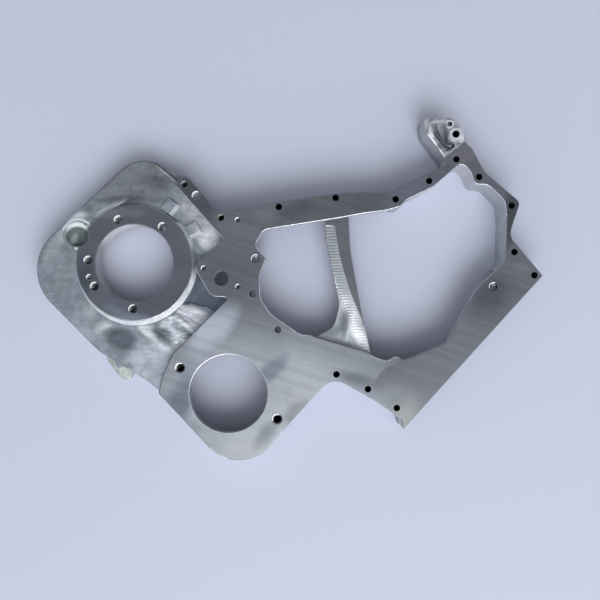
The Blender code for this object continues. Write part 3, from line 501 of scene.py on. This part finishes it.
plainMetals = {
    "castWall": {
        "tones": ((170, 174, 181), (180, 184, 191)), "scale": 60.0, "rough": 0.5, "metallic": 0.5,
        "areas": [
            (0.198, 0.136, 15.0, 0.070, 0.024, 0.40, (206, 204, 208), 0.80),
            (0.172, 0.186, -55.0, 0.040, 0.014, 0.40, (188, 190, 197), 0.80),
            (0.253, 0.022, 60.0, 0.016, 0.016, 0.30, (196, 198, 204), 0.80),
        ],
    },
    "boredWall": {
        "tones": ((150, 153, 160), (172, 175, 181)), "scale": 30.0, "rough": 0.5, "metallic": 0.35,
        # the bore wall is lighter at the upper left of the pump bore, as a painted highlight
        "areas": [(-0.215, 0.075, 35.0, 0.040, 0.018, 0.30, (216, 215, 221), 0.90)],
    },
    # the sides of the small holes: pale where the light comes in, as painted light, and dark elsewhere, as
    # painted shade
    "litHoleWall": {
        "tones": ((246, 247, 248), (222, 224, 227)), "scale": 400.0, "rough": 0.4, "metallic": 0.0,
    },
    "holeShade": {"tones": ((44, 46, 50), (62, 64, 68)), "scale": 300.0, "rough": 0.5, "metallic": 0.6},
    # a pale rim, a painted highlight on the lit side of each countersink
    "litHoleRim": {"tones": ((248, 249, 250), (232, 234, 236)), "scale": 300.0, "rough": 0.4, "metallic": 0.1},
    "holeFloor": {"tones": ((92, 96, 103), (134, 138, 144)), "scale": 200.0, "rough": 0.4, "metallic": 0.8},
    # the points at the bottom of the drilled holes are dark as painted shade
    "drillPoint": {"tones": ((40, 42, 46), (60, 62, 66)), "scale": 200.0, "rough": 0.5, "metallic": 0.7},
    # the broken edges, from the brightest down: painted highlights and painted shade, picked by where an
    # edge lies
    "brightEdge": {
        "tones": ((224, 226, 229), (186, 189, 193)), "scale": 240.0, "rough": 0.26, "metallic": 1.0,
    },
    "paleEdge": {
        "tones": ((158, 160, 165), (136, 138, 143)), "scale": 160.0, "rough": 0.4, "metallic": 0.6,
    },
    "softEdge": {
        "tones": ((126, 129, 133), (108, 111, 115)), "scale": 160.0, "rough": 0.36, "metallic": 0.9,
    },
    "darkEdge": {"tones": ((58, 60, 64), (78, 80, 84)), "scale": 160.0, "rough": 0.45, "metallic": 0.7},
    "pocketFloor": {
        "tones": ((90, 97, 107), (112, 119, 129)), "scale": 40.0, "rough": 0.36, "metallic": 0.8,
    },
    "scoopDish": {
        "tones": ((212, 218, 218), (226, 231, 231)), "scale": 170.0, "rough": 0.62, "metallic": 0.2,
        # the scoop is painted as a lit dish: its pale tone makes a bright rim, a painted highlight, and the
        # areas put painted shade in its middle and on its right and lower side, lighter on its left
        "areas": [
            (-0.2664, 0.0648, 0.0, 0.0166, 0.0166, 0.78, (88, 98, 99), 1.00),
            (-0.2715, 0.0630, 70.0, 0.012, 0.006, 0.20, (146, 156, 152), 0.90),
            (-0.2550, 0.0710, 60.0, 0.010, 0.006, 0.20, (66, 74, 78), 0.85),
            (-0.2640, 0.0560, 10.0, 0.010, 0.005, 0.20, (60, 68, 72), 0.85),
        ],
    },
    # the skirt of the seat is pale as a painted highlight, with painted shade on its right side; faces
    # beyond the ring take a darker tone
    "skirtFace": {
        "tones": ((206, 211, 216), (226, 230, 234)), "scale": 60.0, "rough": 0.40, "metallic": 0.5,
        "areas": [(-0.1165, 0.036, 90.0, 0.030, 0.012, 0.30, (122, 128, 134), 0.85)],
        "inside": (-0.193, 0.0325, 0.0, 0.0793, 0.0793, 0.985), "outerTone": (96, 103, 113),
    },
    # the sloping facets of the pads are pale as a painted highlight
    "padSlope": {
        "tones": ((206, 210, 214), (228, 230, 233)), "scale": 90.0, "rough": 0.36, "metallic": 0.7,
    },
    "armFace": {
        "tones": ((186, 187, 190), (222, 223, 225)), "scale": 110.0, "rough": 0.38, "metallic": 0.6,
        "areas": [(0.213, 0.180, 0.0, 0.006, 0.007, 0.30, (128, 116, 112), 0.80)],
    },
    "armSkin": {
        "tones": ((118, 119, 123), (170, 172, 176)), "scale": 150.0, "rough": 0.40, "metallic": 0.6,
        # the light bands along the rim of the arm and the thin bright line at its edge are painted
        # highlights; one small spot is darker
        "areas": [
            (0.1710, 0.200, 80.0, 0.024, 0.0040, 0.10, (190, 191, 194), 0.95),
            (0.1820, 0.199, 80.0, 0.015, 0.0060, 0.30, (240, 241, 243), 0.95),
            (0.1810, 0.201, 80.0, 0.010, 0.0050, 0.10, (206, 207, 210), 0.90),
            (0.2130, 0.194, 80.0, 0.010, 0.0100, 0.30, (166, 167, 170), 0.80),
            (0.1868, 0.1792, -54.5, 0.021, 0.0021, 0.80, (252, 252, 253), 1.00),
            (0.1900, 0.178, 0.0, 0.007, 0.006, 0.20, (92, 94, 98), 0.70),
            (0.1930, 0.209, 10.0, 0.016, 0.0040, 0.40, (190, 191, 194), 0.80),
        ],
    },
}


plainGrain = {
    "cloudsFrom": 0.34, "cloudsTo": 0.66, "roughSpread": 0.10, "bumpDepth": 0.0006,
    "smoothBelow": 0.4, "smoothBump": 0.10, "coarseBump": 0.25,
}


def makePlainMetal(name, settings, looks):
    # two tones in soft clouds over fine grain
    material, tree, shader, place = startMetal(name, settings["metallic"], settings["rough"])
    grain = addNode(tree, 'ShaderNodeGroup', node_tree=castGrain)
    tree.links.new(place, grain.inputs["Vector"])
    noise = noiseNode(tree, place, settings["scale"], rough=0.6)
    clouds = rangeNode(tree, noise, looks["cloudsFrom"], looks["cloudsTo"])
    first, second = settings["tones"]
    colour = mixColour(tree, clouds, linearColour(*first), linearColour(*second))
    colour = paintAreas(tree, place, colour, settings.get("areas", []))
    if "inside" in settings:
        mask = addSpot(tree, place, settings["inside"])
        colour = mixColour(tree, mask, linearColour(*settings["outerTone"]), colour)
    tree.links.new(colour, shader.inputs["Base Color"])
    spreadRoughness(tree, shader, grain.outputs["Mottle"], settings["rough"], looks["roughSpread"])
    bump = looks["smoothBump"] if settings["rough"] < looks["smoothBelow"] else looks["coarseBump"]
    addBump(tree, shader, grain.outputs["Height"], bump, looks["bumpDepth"])
    return material


finishes = {
    "milledFace": makeMilledFace("milledFace", milling, milling["areas"], milling["exactAreas"]),
    "plainMilled": makeMilledFace("plainMilled", milling, [], []),
    "rampFace": makeMilledFace("rampFace", rampMilling, rampMilling["areas"], rampMilling["exactAreas"]),
    "turnedFace": makeTurnedFace(turning),
    "castSkin": makeCastSkin("castSkin", castSkin, castSkin["areas"], castSkin["lines"]),
    "castInside": makeCastSkin("castInside", castSkin, [], []),
}
for metalName, metalSettings in plainMetals.items():
    finishes[metalName] = makePlainMetal(metalName, metalSettings, plainGrain)
finishOrder = list(finishes)
print("metal finishes made")


casting = {
    # cleaning the mesh and breaking its edges; lengths in metres, angles in degrees
    "weldDistance": 0.00002, "flatAngle": 0.2, "sharpAngle": 34.0, "edgeWidth": 0.0009, "edgeSteps": 2,
    "edgeAngle": 40.0, "rimWidth": 0.0009, "wideRim": 0.0015, "wideRimReach": 0.075,
    # rims up to this long belong to small holes, and those in these ranges are countersunk
    "smallHoleLoop": 0.065, "rimLoops": [(0.0165, 0.0215), (0.0300, 0.0335)],
    "holeWallLoop": 0.034, "holeAngle": 30.0, "holeSides": 10,
    # the side of a hole that gets painted light, and where the holes are dark all round as painted shade
    "litSide": 0.35, "darkHolesFrom": -0.050,
    # heights of the faces that look up
    "blockFace": 0.050, "padFace": 0.043, "bridgeFace": 0.041, "flatFace": 0.033, "levelSlack": 0.0002,
    # how far a face looks up, 1 for straight up
    "flatUp": 0.99, "topUp": 0.5, "wallUp": 0.1, "slopingWallUp": 0.4, "insideUp": -0.3,
    "pumpCentre": (-0.193, 0.0325), "driveCentre": (-0.0735, -0.131), "boreRadius": 0.049,
    "boreSlack": 0.001, "padRadius": 0.073, "padReach": 0.090,
    "armBoss": (0.211, 0.1935), "armBossFace": 0.007, "armBossReach": 0.016, "armBossFrom": 0.0485,
    "smallBoss": (0.2035, 0.206), "smallBossFace": 0.003,
    "dowelHoles": [(-0.1135, 0.1165), (-0.0395, 0.0375), (0.258, 0.0025)], "dowelRadius": 0.005,
    "drillSides": 11, "drillArea": 0.00008,
    "scoopCentre": (-0.2655, 0.068), "scoopRadius": 0.0155,
    "slopes": [(-0.1417, 0.0987), (-0.1152, 0.0675)], "slopeReach": 0.014, "slopeGap": 0.006,
    "skirtWidth": 0.0085, "wideSkirt": 0.012,
    "panFaceWay": (0.7411, -0.6714, 0.0), "panFaceFrom": 0.222,
}

# limits of a face's middle and of how far it looks up, where None is no limit
faceZones = {
    "hole": {"up": (-0.5, None)},
    "drillPoint": {"z": (None, 0.048), "up": (0.9, None)},
    "arm": {"x": (0.16, None), "y": (0.15, None), "z": (0.03, None), "up": (0.5, None)},
    "ramp": {"x": (0.04, 0.112), "y": (-0.09, 0.1), "z": (0.033, 0.0415), "up": (0.2, None)},
    "scoop": {"z": (None, 0.0405), "up": (0.05, None)},
    "slope": {"z": (0.038, None), "up": (0.3, 0.85)},
    "skirt": {"y": (None, 0.085), "z": (0.033, 0.0428), "up": (0.25, 0.95)},
    "wideSkirt": {"x": (-0.140, None), "y": (-0.025, None)},
    "lowWall": {"z": (None, 0.033), "up": (None, 0.5)},
}


def within(value, limits):
    low, high = limits
    return (low is None or value > low) and (high is None or value < high)


def inZone(zone, middle, up=0.0):
    seen = {"x": middle.x, "y": middle.y, "z": middle.z, "up": up}
    return all(within(seen[name], limits) for name, limits in zone.items())


def apart(middle, place):
    return math.hypot(middle.x - place[0], middle.y - place[1])


def atLevel(middle, name):
    return abs(middle.z - casting[name]) < casting["levelSlack"]


def loopLength(loop):
    return sum(edge.calc_length() for edge in loop)


def mergedCopy(nodeName, pieceName):
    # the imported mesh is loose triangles: its doubles are merged and its flat faces made whole
    bm = bmesh.new()
    bm.from_mesh(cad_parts[nodeName].data)
    bmesh.ops.remove_doubles(bm, verts=bm.verts, dist=casting["weldDistance"])
    bmesh.ops.dissolve_limit(
        bm, angle_limit=math.radians(casting["flatAngle"]), verts=bm.verts, edges=bm.edges)
    mesh = bpy.data.meshes.new(pieceName)
    piece = bpy.data.objects.new(pieceName, mesh)
    bpy.context.scene.collection.objects.link(piece)
    return piece, bm


def isMilledTop(face):
    middle = face.calc_center_median()
    levels = ("blockFace", "padFace", "bridgeFace")
    return face.normal.z > casting["flatUp"] and any(atLevel(middle, name) for name in levels)


def edgeLoops(edges):
    # groups edges that share corners, so that the rim of a hole is one group; the edges stay
    # in the mesh's own order, so that the groups come out alike in every run
    left = dict.fromkeys(edges)
    loops = []
    while left:
        waiting = [left.popitem()[0]]
        group = []
        while waiting:
            edge = waiting.pop()
            group.append(edge)
            for other in [near for vert in edge.verts for near in vert.link_edges]:
                if other in left:
                    del left[other]
                    waiting.append(other)
        loops.append(group)
    return loops


def edgesToBreak(bm):
    # the long edges that are broken, longest first, and the rims that are countersunk
    sharp = math.radians(casting["edgeAngle"])
    rims = []
    for edge in bm.edges:
        if len(edge.link_faces) == 2:
            first, second = edge.link_faces
            if isMilledTop(first) != isMilledTop(second) and edge.calc_face_angle_signed() > sharp:
                rims.append(edge)
    broken = []
    sunk = []
    for loop in edgeLoops(rims):
        length = loopLength(loop)
        if length > casting["smallHoleLoop"]:
            broken.append(loop)
        elif any(low < length < high for low, high in casting["rimLoops"]):
            sunk.append(loop)
    broken.sort(key=loopLength, reverse=True)
    return broken, sunk


def wallsBelowHoles(bm):
    # upright faces round the small holes of the milled tops
    sharp = math.radians(casting["holeAngle"])
    wallOf = {}
    for edge in bm.edges:
        if len(edge.link_faces) == 2:
            tops = [face for face in edge.link_faces if face.normal.z > casting["topUp"]]
            walls = [face for face in edge.link_faces if abs(face.normal.z) < casting["wallUp"]]
            if tops and len(walls) == 1 and edge.calc_face_angle_signed() > sharp:
                wallOf[edge] = walls[0]
    found = set()
    for loop in edgeLoops(wallOf):
        if len(loop) >= casting["holeSides"] and loopLength(loop) < casting["holeWallLoop"]:
            found.update(wallOf[edge] for edge in loop)
    return found


def facesLight(normal):
    # the side of a hole that looks to the lower right, and is lit from there in the main view; it gets pale
    # finishes as painted light
    return normal.x - normal.y > casting["litSide"]


def breakEdges(bm, edges, width, steps):
    made = bmesh.ops.bevel(
        bm, geom=edges, offset=width, offset_type='OFFSET', segments=steps, profile=0.5, affect='EDGES',
        material=-1, clamp_overlap=False)
    return set(made["faces"])


edgeZones = {
    # stretches of the outline: the dark one is painted shade, the pale one, the step at the pump case and
    # the top rail are painted highlights
    "dark": {"x": (None, -0.0735), "y": (-0.131, -0.0115)},
    "pale": {"x": (-0.010, 0.132), "y": (None, -0.100)},
    "step": {"x": (-0.116, -0.0735), "y": (None, 0.0265)},
    "rail": {"x": (-0.143, -0.081), "y": (None, 0.128)}, "railSlant": (-0.0185, -0.008),
    # the dark edge along the foot of the bridge, painted shade, as a line through a point
    "foot": {"x": (0.030, 0.103)}, "footPoint": (0.031, -0.0585), "footWay": (0.2836, 0.9589),
    "footReach": 0.0025, "bridgeReach": 0.0015,
    # edges of the seat and of the windows, which get painted highlights
    "seatGap": 0.005, "seatRing": 0.060, "leftPart": {"x": (None, 0.14)}, "topPart": {"y": (0.09, None)},
}


def outlineFinish(middle):
    # the edge round the whole block face gets a painted highlight on a few stretches only, and painted
    # shade on one
    if inZone(edgeZones["dark"], middle):
        return "darkEdge"
    if inZone(edgeZones["pale"], middle):
        return "paleEdge"
    onRail = inZone(edgeZones["rail"], middle) and within(middle.x + middle.y, edgeZones["railSlant"])
    return "brightEdge" if onRail or inZone(edgeZones["step"], middle) else "softEdge"


def innerEdgeFinish(middle):
    # the edges of the windows, the bridge, the bores and the seat; the bright ones are painted highlights
    # and the one along the foot of the bridge painted shade
    if abs(middle.z - casting["bridgeFace"]) < edgeZones["bridgeReach"]:
        return "softEdge"
    pointX, pointY = edgeZones["footPoint"]
    wayX, wayY = edgeZones["footWay"]
    fromFoot = (middle.x - pointX) * wayX + (middle.y - pointY) * wayY
    if inZone(edgeZones["foot"], middle) and abs(fromFoot) < edgeZones["footReach"]:
        return "darkEdge"
    fromPump = apart(middle, casting["pumpCentre"])
    if fromPump < casting["padRadius"] + edgeZones["seatGap"]:
        isBright = fromPump > edgeZones["seatRing"] and middle.y < 0.0
    else:
        isBright = inZone(edgeZones["leftPart"], middle) or inZone(edgeZones["topPart"], middle)
    return "brightEdge" if isBright else "softEdge"


def finishOfTop(middle):
    # faces that look straight up, from the block face down
    if middle.z > casting["blockFace"] - casting["levelSlack"]:
        onBoss = apart(middle, casting["armBoss"]) < casting["armBossFace"]
        onSmallBoss = apart(middle, casting["smallBoss"]) < casting["smallBossFace"]
        return "armFace" if onBoss or onSmallBoss else "milledFace"
    if atLevel(middle, "bridgeFace") and middle.x > 0:
        return "milledFace"
    if atLevel(middle, "padFace") and apart(middle, casting["pumpCentre"]) < casting["padReach"]:
        return "turnedFace"
    if atLevel(middle, "flatFace") and middle.x < 0:
        return "pocketFloor"
    return ""


def finishOfHole(face, holeWalls):
    # the walls and floors of the small holes
    middle = face.calc_center_median()
    up = face.normal.z
    # the lit side of a hole's wall is pale as painted light; the other sides, and every side of the holes
    # on the right, are dark as painted shade
    if abs(up) < casting["wallUp"] and face in holeWalls:
        isLit = facesLight(face.normal) and middle.x < casting["darkHolesFrom"]
        return "litHoleWall" if isLit else "holeShade"
    fromDowel = min(apart(middle, place) for place in casting["dowelHoles"])
    if fromDowel < casting["dowelRadius"] and inZone(faceZones["hole"], middle, up):
        return "holeFloor"
    isSmall = len(face.verts) > casting["drillSides"] and face.calc_area() < casting["drillArea"]
    if isSmall and inZone(faceZones["drillPoint"], middle, up):
        return "drillPoint"
    return ""


def finishOfForm(face):
    # the arm, the ramp of the bridge, the scoop, the slopes at the pad and the skirt of the seat
    middle = face.calc_center_median()
    up = face.normal.z
    fromPump = apart(middle, casting["pumpCentre"])
    if inZone(faceZones["arm"], middle, up):
        onBoss = apart(middle, casting["armBoss"]) < casting["armBossReach"]
        return "armFace" if onBoss and middle.z > casting["armBossFrom"] else "armSkin"
    if inZone(faceZones["ramp"], middle, up):
        return "rampFace"
    inScoop = apart(middle, casting["scoopCentre"]) < casting["scoopRadius"]
    if inScoop and inZone(faceZones["scoop"], middle, up):
        return "scoopDish"
    onSlope = min(apart(middle, place) for place in casting["slopes"]) < casting["slopeReach"]
    if onSlope and inZone(faceZones["slope"], middle, up):
        if len(face.verts) > 3 and fromPump > casting["padRadius"] + casting["slopeGap"]:
            return "padSlope"
    width = casting["wideSkirt"] if inZone(faceZones["wideSkirt"], middle) else casting["skirtWidth"]
    onSkirt = casting["padRadius"] < fromPump < casting["padRadius"] + width
    return "skirtFace" if onSkirt and inZone(faceZones["skirt"], middle, up) else ""


def finishOfWall(middle, up):
    # what is left: the outer walls, the hollow underside and the cast top
    if inZone(faceZones["lowWall"], middle, up):
        return "castWall" if up > casting["insideUp"] else "castInside"
    if abs(up) < casting["slopingWallUp"]:
        return "castWall"
    return "castSkin" if up > 0 else "castInside"


def finishOf(face, holeWalls):
    middle = face.calc_center_median()
    up = face.normal.z
    topFinish = finishOfTop(middle) if up > casting["flatUp"] else ""
    if topFinish:
        return topFinish
    if up < -casting["flatUp"] and middle.z < casting["levelSlack"]:
        return "plainMilled"
    fromBore = min(apart(middle, casting["pumpCentre"]), apart(middle, casting["driveCentre"]))
    if abs(up) < casting["wallUp"] and fromBore < casting["boreRadius"] + casting["boreSlack"]:
        return "boredWall"
    panWay = Vector(casting["panFaceWay"])
    if face.normal.dot(panWay) > casting["flatUp"] and middle.dot(panWay) > casting["panFaceFrom"]:
        return "plainMilled"
    return finishOfHole(face, holeWalls) or finishOfForm(face) or finishOfWall(middle, up)


def makeCasting():
    piece, bm = mergedCopy("gear_housing", "housingCasting")
    broken, sunk = edgesToBreak(bm)
    print("edges to break:", len(broken), "rims:", len(sunk), "faces:", len(bm.faces))
    edgeFaces = {}
    for loop in sunk:
        nearDrive = apart(loop[0].verts[0].co, casting["driveCentre"]) < casting["wideRimReach"]
        width = casting["wideRim"] if nearDrive else casting["rimWidth"]
        for face in breakEdges(bm, loop, width, 1):
            face.normal_update()
            # the lit side of the countersink gets a pale rim as a painted highlight, the rest a darker edge
            edgeFaces[face] = "litHoleRim" if facesLight(face.normal) else "softEdge"
    holeWalls = wallsBelowHoles(bm)
    for number, loop in enumerate(broken):
        # the longest loop is the outline of the block face
        chooseFinish = outlineFinish if number == 0 else innerEdgeFinish
        for face in breakEdges(bm, loop, casting["edgeWidth"], casting["edgeSteps"]):
            edgeFaces[face] = chooseFinish(face.calc_center_median())
    counts = {}
    for face in bm.faces:
        face.smooth = True
        name = edgeFaces.get(face) or finishOf(face, holeWalls)
        counts[name] = counts.get(name, 0) + 1
        face.material_index = finishOrder.index(name)
    print("faces by finish:", counts)
    for edge in bm.edges:
        if len(edge.link_faces) == 2:
            edge.smooth = edge.calc_face_angle(0.0) < math.radians(casting["sharpAngle"])
    bm.to_mesh(piece.data)
    bm.free()
    for name in finishOrder:
        piece.data.materials.append(finishes[name])
    weighted = piece.modifiers.new("flatFaces", 'WEIGHTED_NORMAL')
    weighted.keep_sharp = True
    weighted.weight = 100
    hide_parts("gear_housing")
    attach(piece, "root")


makeCasting()
print("casting dressed")


studio = {
    "floorColour": (187, 192, 209), "floorSize": 40.0, "floorRoughness": 0.9, "floorShine": 0.2,
    "backdrop": (204, 209, 224), "fadeFrom": 0.8, "fadeTo": 2.6,
    "skyTint": (0.97, 0.98, 1.0, 1.0), "skyHigh": 1.2, "skyLow": 0.2, "skyReach": 0.6,
    "keyPlace": (0.6, -2.0, 2.6), "keySize": 2.4, "keyPower": 70.0,
    "cameraPlace": (0.01595, -0.01395, 0.925), "lens": 42.0,
}


def seenOrMirrored(tree):
    # 1 for what the camera sees, straight or by way of metal and glass, and 0 for what gives light
    path = addNode(tree, 'ShaderNodeLightPath')
    either = mathNode(tree, 'MAXIMUM', path.outputs['Is Camera Ray'], path.outputs['Is Glossy Ray'])
    return mathNode(tree, 'MAXIMUM', either, path.outputs['Is Transmission Ray'])


def makeFloor():
    bm = bmesh.new()
    bmesh.ops.create_grid(bm, x_segments=1, y_segments=1, size=studio["floorSize"] / 2)
    mesh = bpy.data.meshes.new("floor")
    bm.to_mesh(mesh)
    bm.free()
    floor = bpy.data.objects.new("floor", mesh)
    bpy.context.scene.collection.objects.link(floor)
    material = bpy.data.materials.new("paleFloor")
    material.use_nodes = True
    shader = material.node_tree.nodes["Principled BSDF"]
    shader.inputs["Base Color"].default_value = linearColour(*studio["floorColour"])
    shader.inputs["Roughness"].default_value = studio["floorRoughness"]
    shader.inputs["Specular IOR Level"].default_value = studio["floorShine"]
    # far from the part the floor shows an even pale tone, so that hardly any horizon is seen
    tree = material.node_tree
    reach = addNode(tree, 'ShaderNodeVectorMath', operation='LENGTH')
    tree.links.new(addNode(tree, 'ShaderNodeTexCoord').outputs['Object'], reach.inputs[0])
    far = rangeNode(tree, reach.outputs['Value'], studio["fadeFrom"], studio["fadeTo"])
    seen = seenOrMirrored(tree)
    glow = addNode(tree, 'ShaderNodeEmission')
    glow.inputs['Color'].default_value = linearColour(*studio["backdrop"])
    blend = addNode(tree, 'ShaderNodeMixShader')
    surface = tree.nodes["Material Output"].inputs['Surface']
    joinSockets(tree, [
        (mathNode(tree, 'MULTIPLY', far, seen), blend.inputs[0]), (shader.outputs[0], blend.inputs[1]),
        (glow.outputs[0], blend.inputs[2]), (blend.outputs[0], surface)])
    mesh.materials.append(material)


def makeLight():
    world = bpy.data.worlds.new("studioSky")
    bpy.context.scene.world = world
    world.use_nodes = True
    tree = world.node_tree
    background = tree.nodes["Background"]
    way = addNode(tree, 'ShaderNodeTexCoord').outputs['Generated']
    split = addNode(tree, 'ShaderNodeSeparateXYZ')
    tree.links.new(way, split.inputs[0])
    reach = studio["skyReach"]
    glow = rangeNode(tree, split.outputs['Y'], -reach, reach, studio["skyHigh"], studio["skyLow"])
    # the sky that is seen or mirrored has the tone of the far floor
    seen = seenOrMirrored(tree)
    tint = mixColour(tree, seen, studio["skyTint"], linearColour(*studio["backdrop"]))
    power = addNode(tree, 'ShaderNodeMix', data_type='FLOAT')
    power.inputs[3].default_value = 1.0
    joinSockets(tree, [
        (seen, power.inputs[0]), (glow, power.inputs[2]),
        (power.outputs[0], background.inputs["Strength"]), (tint, background.inputs["Color"])])
    lamp = bpy.data.lights.new("windowLight", 'AREA')
    lamp.shape = 'DISK'
    lamp.size = studio["keySize"]
    lamp.energy = studio["keyPower"]
    light = bpy.data.objects.new("windowLight", lamp)
    bpy.context.scene.collection.objects.link(light)
    light.location = studio["keyPlace"]
    light.rotation_euler = (-light.location).to_track_quat('-Z', 'Y').to_euler()  # aimed at the origin


def makeCamera():
    data = bpy.data.cameras.new("camera")
    data.lens = studio["lens"]
    data.sensor_width = 36.0
    data.clip_start = 0.01
    camera = bpy.data.objects.new("camera", data)
    bpy.context.scene.collection.objects.link(camera)
    camera.location = studio["cameraPlace"]
    bpy.context.scene.camera = camera


makeFloor()
makeLight()
makeCamera()
bpy.context.scene.view_settings.view_transform = 'Standard'
print("studio set")
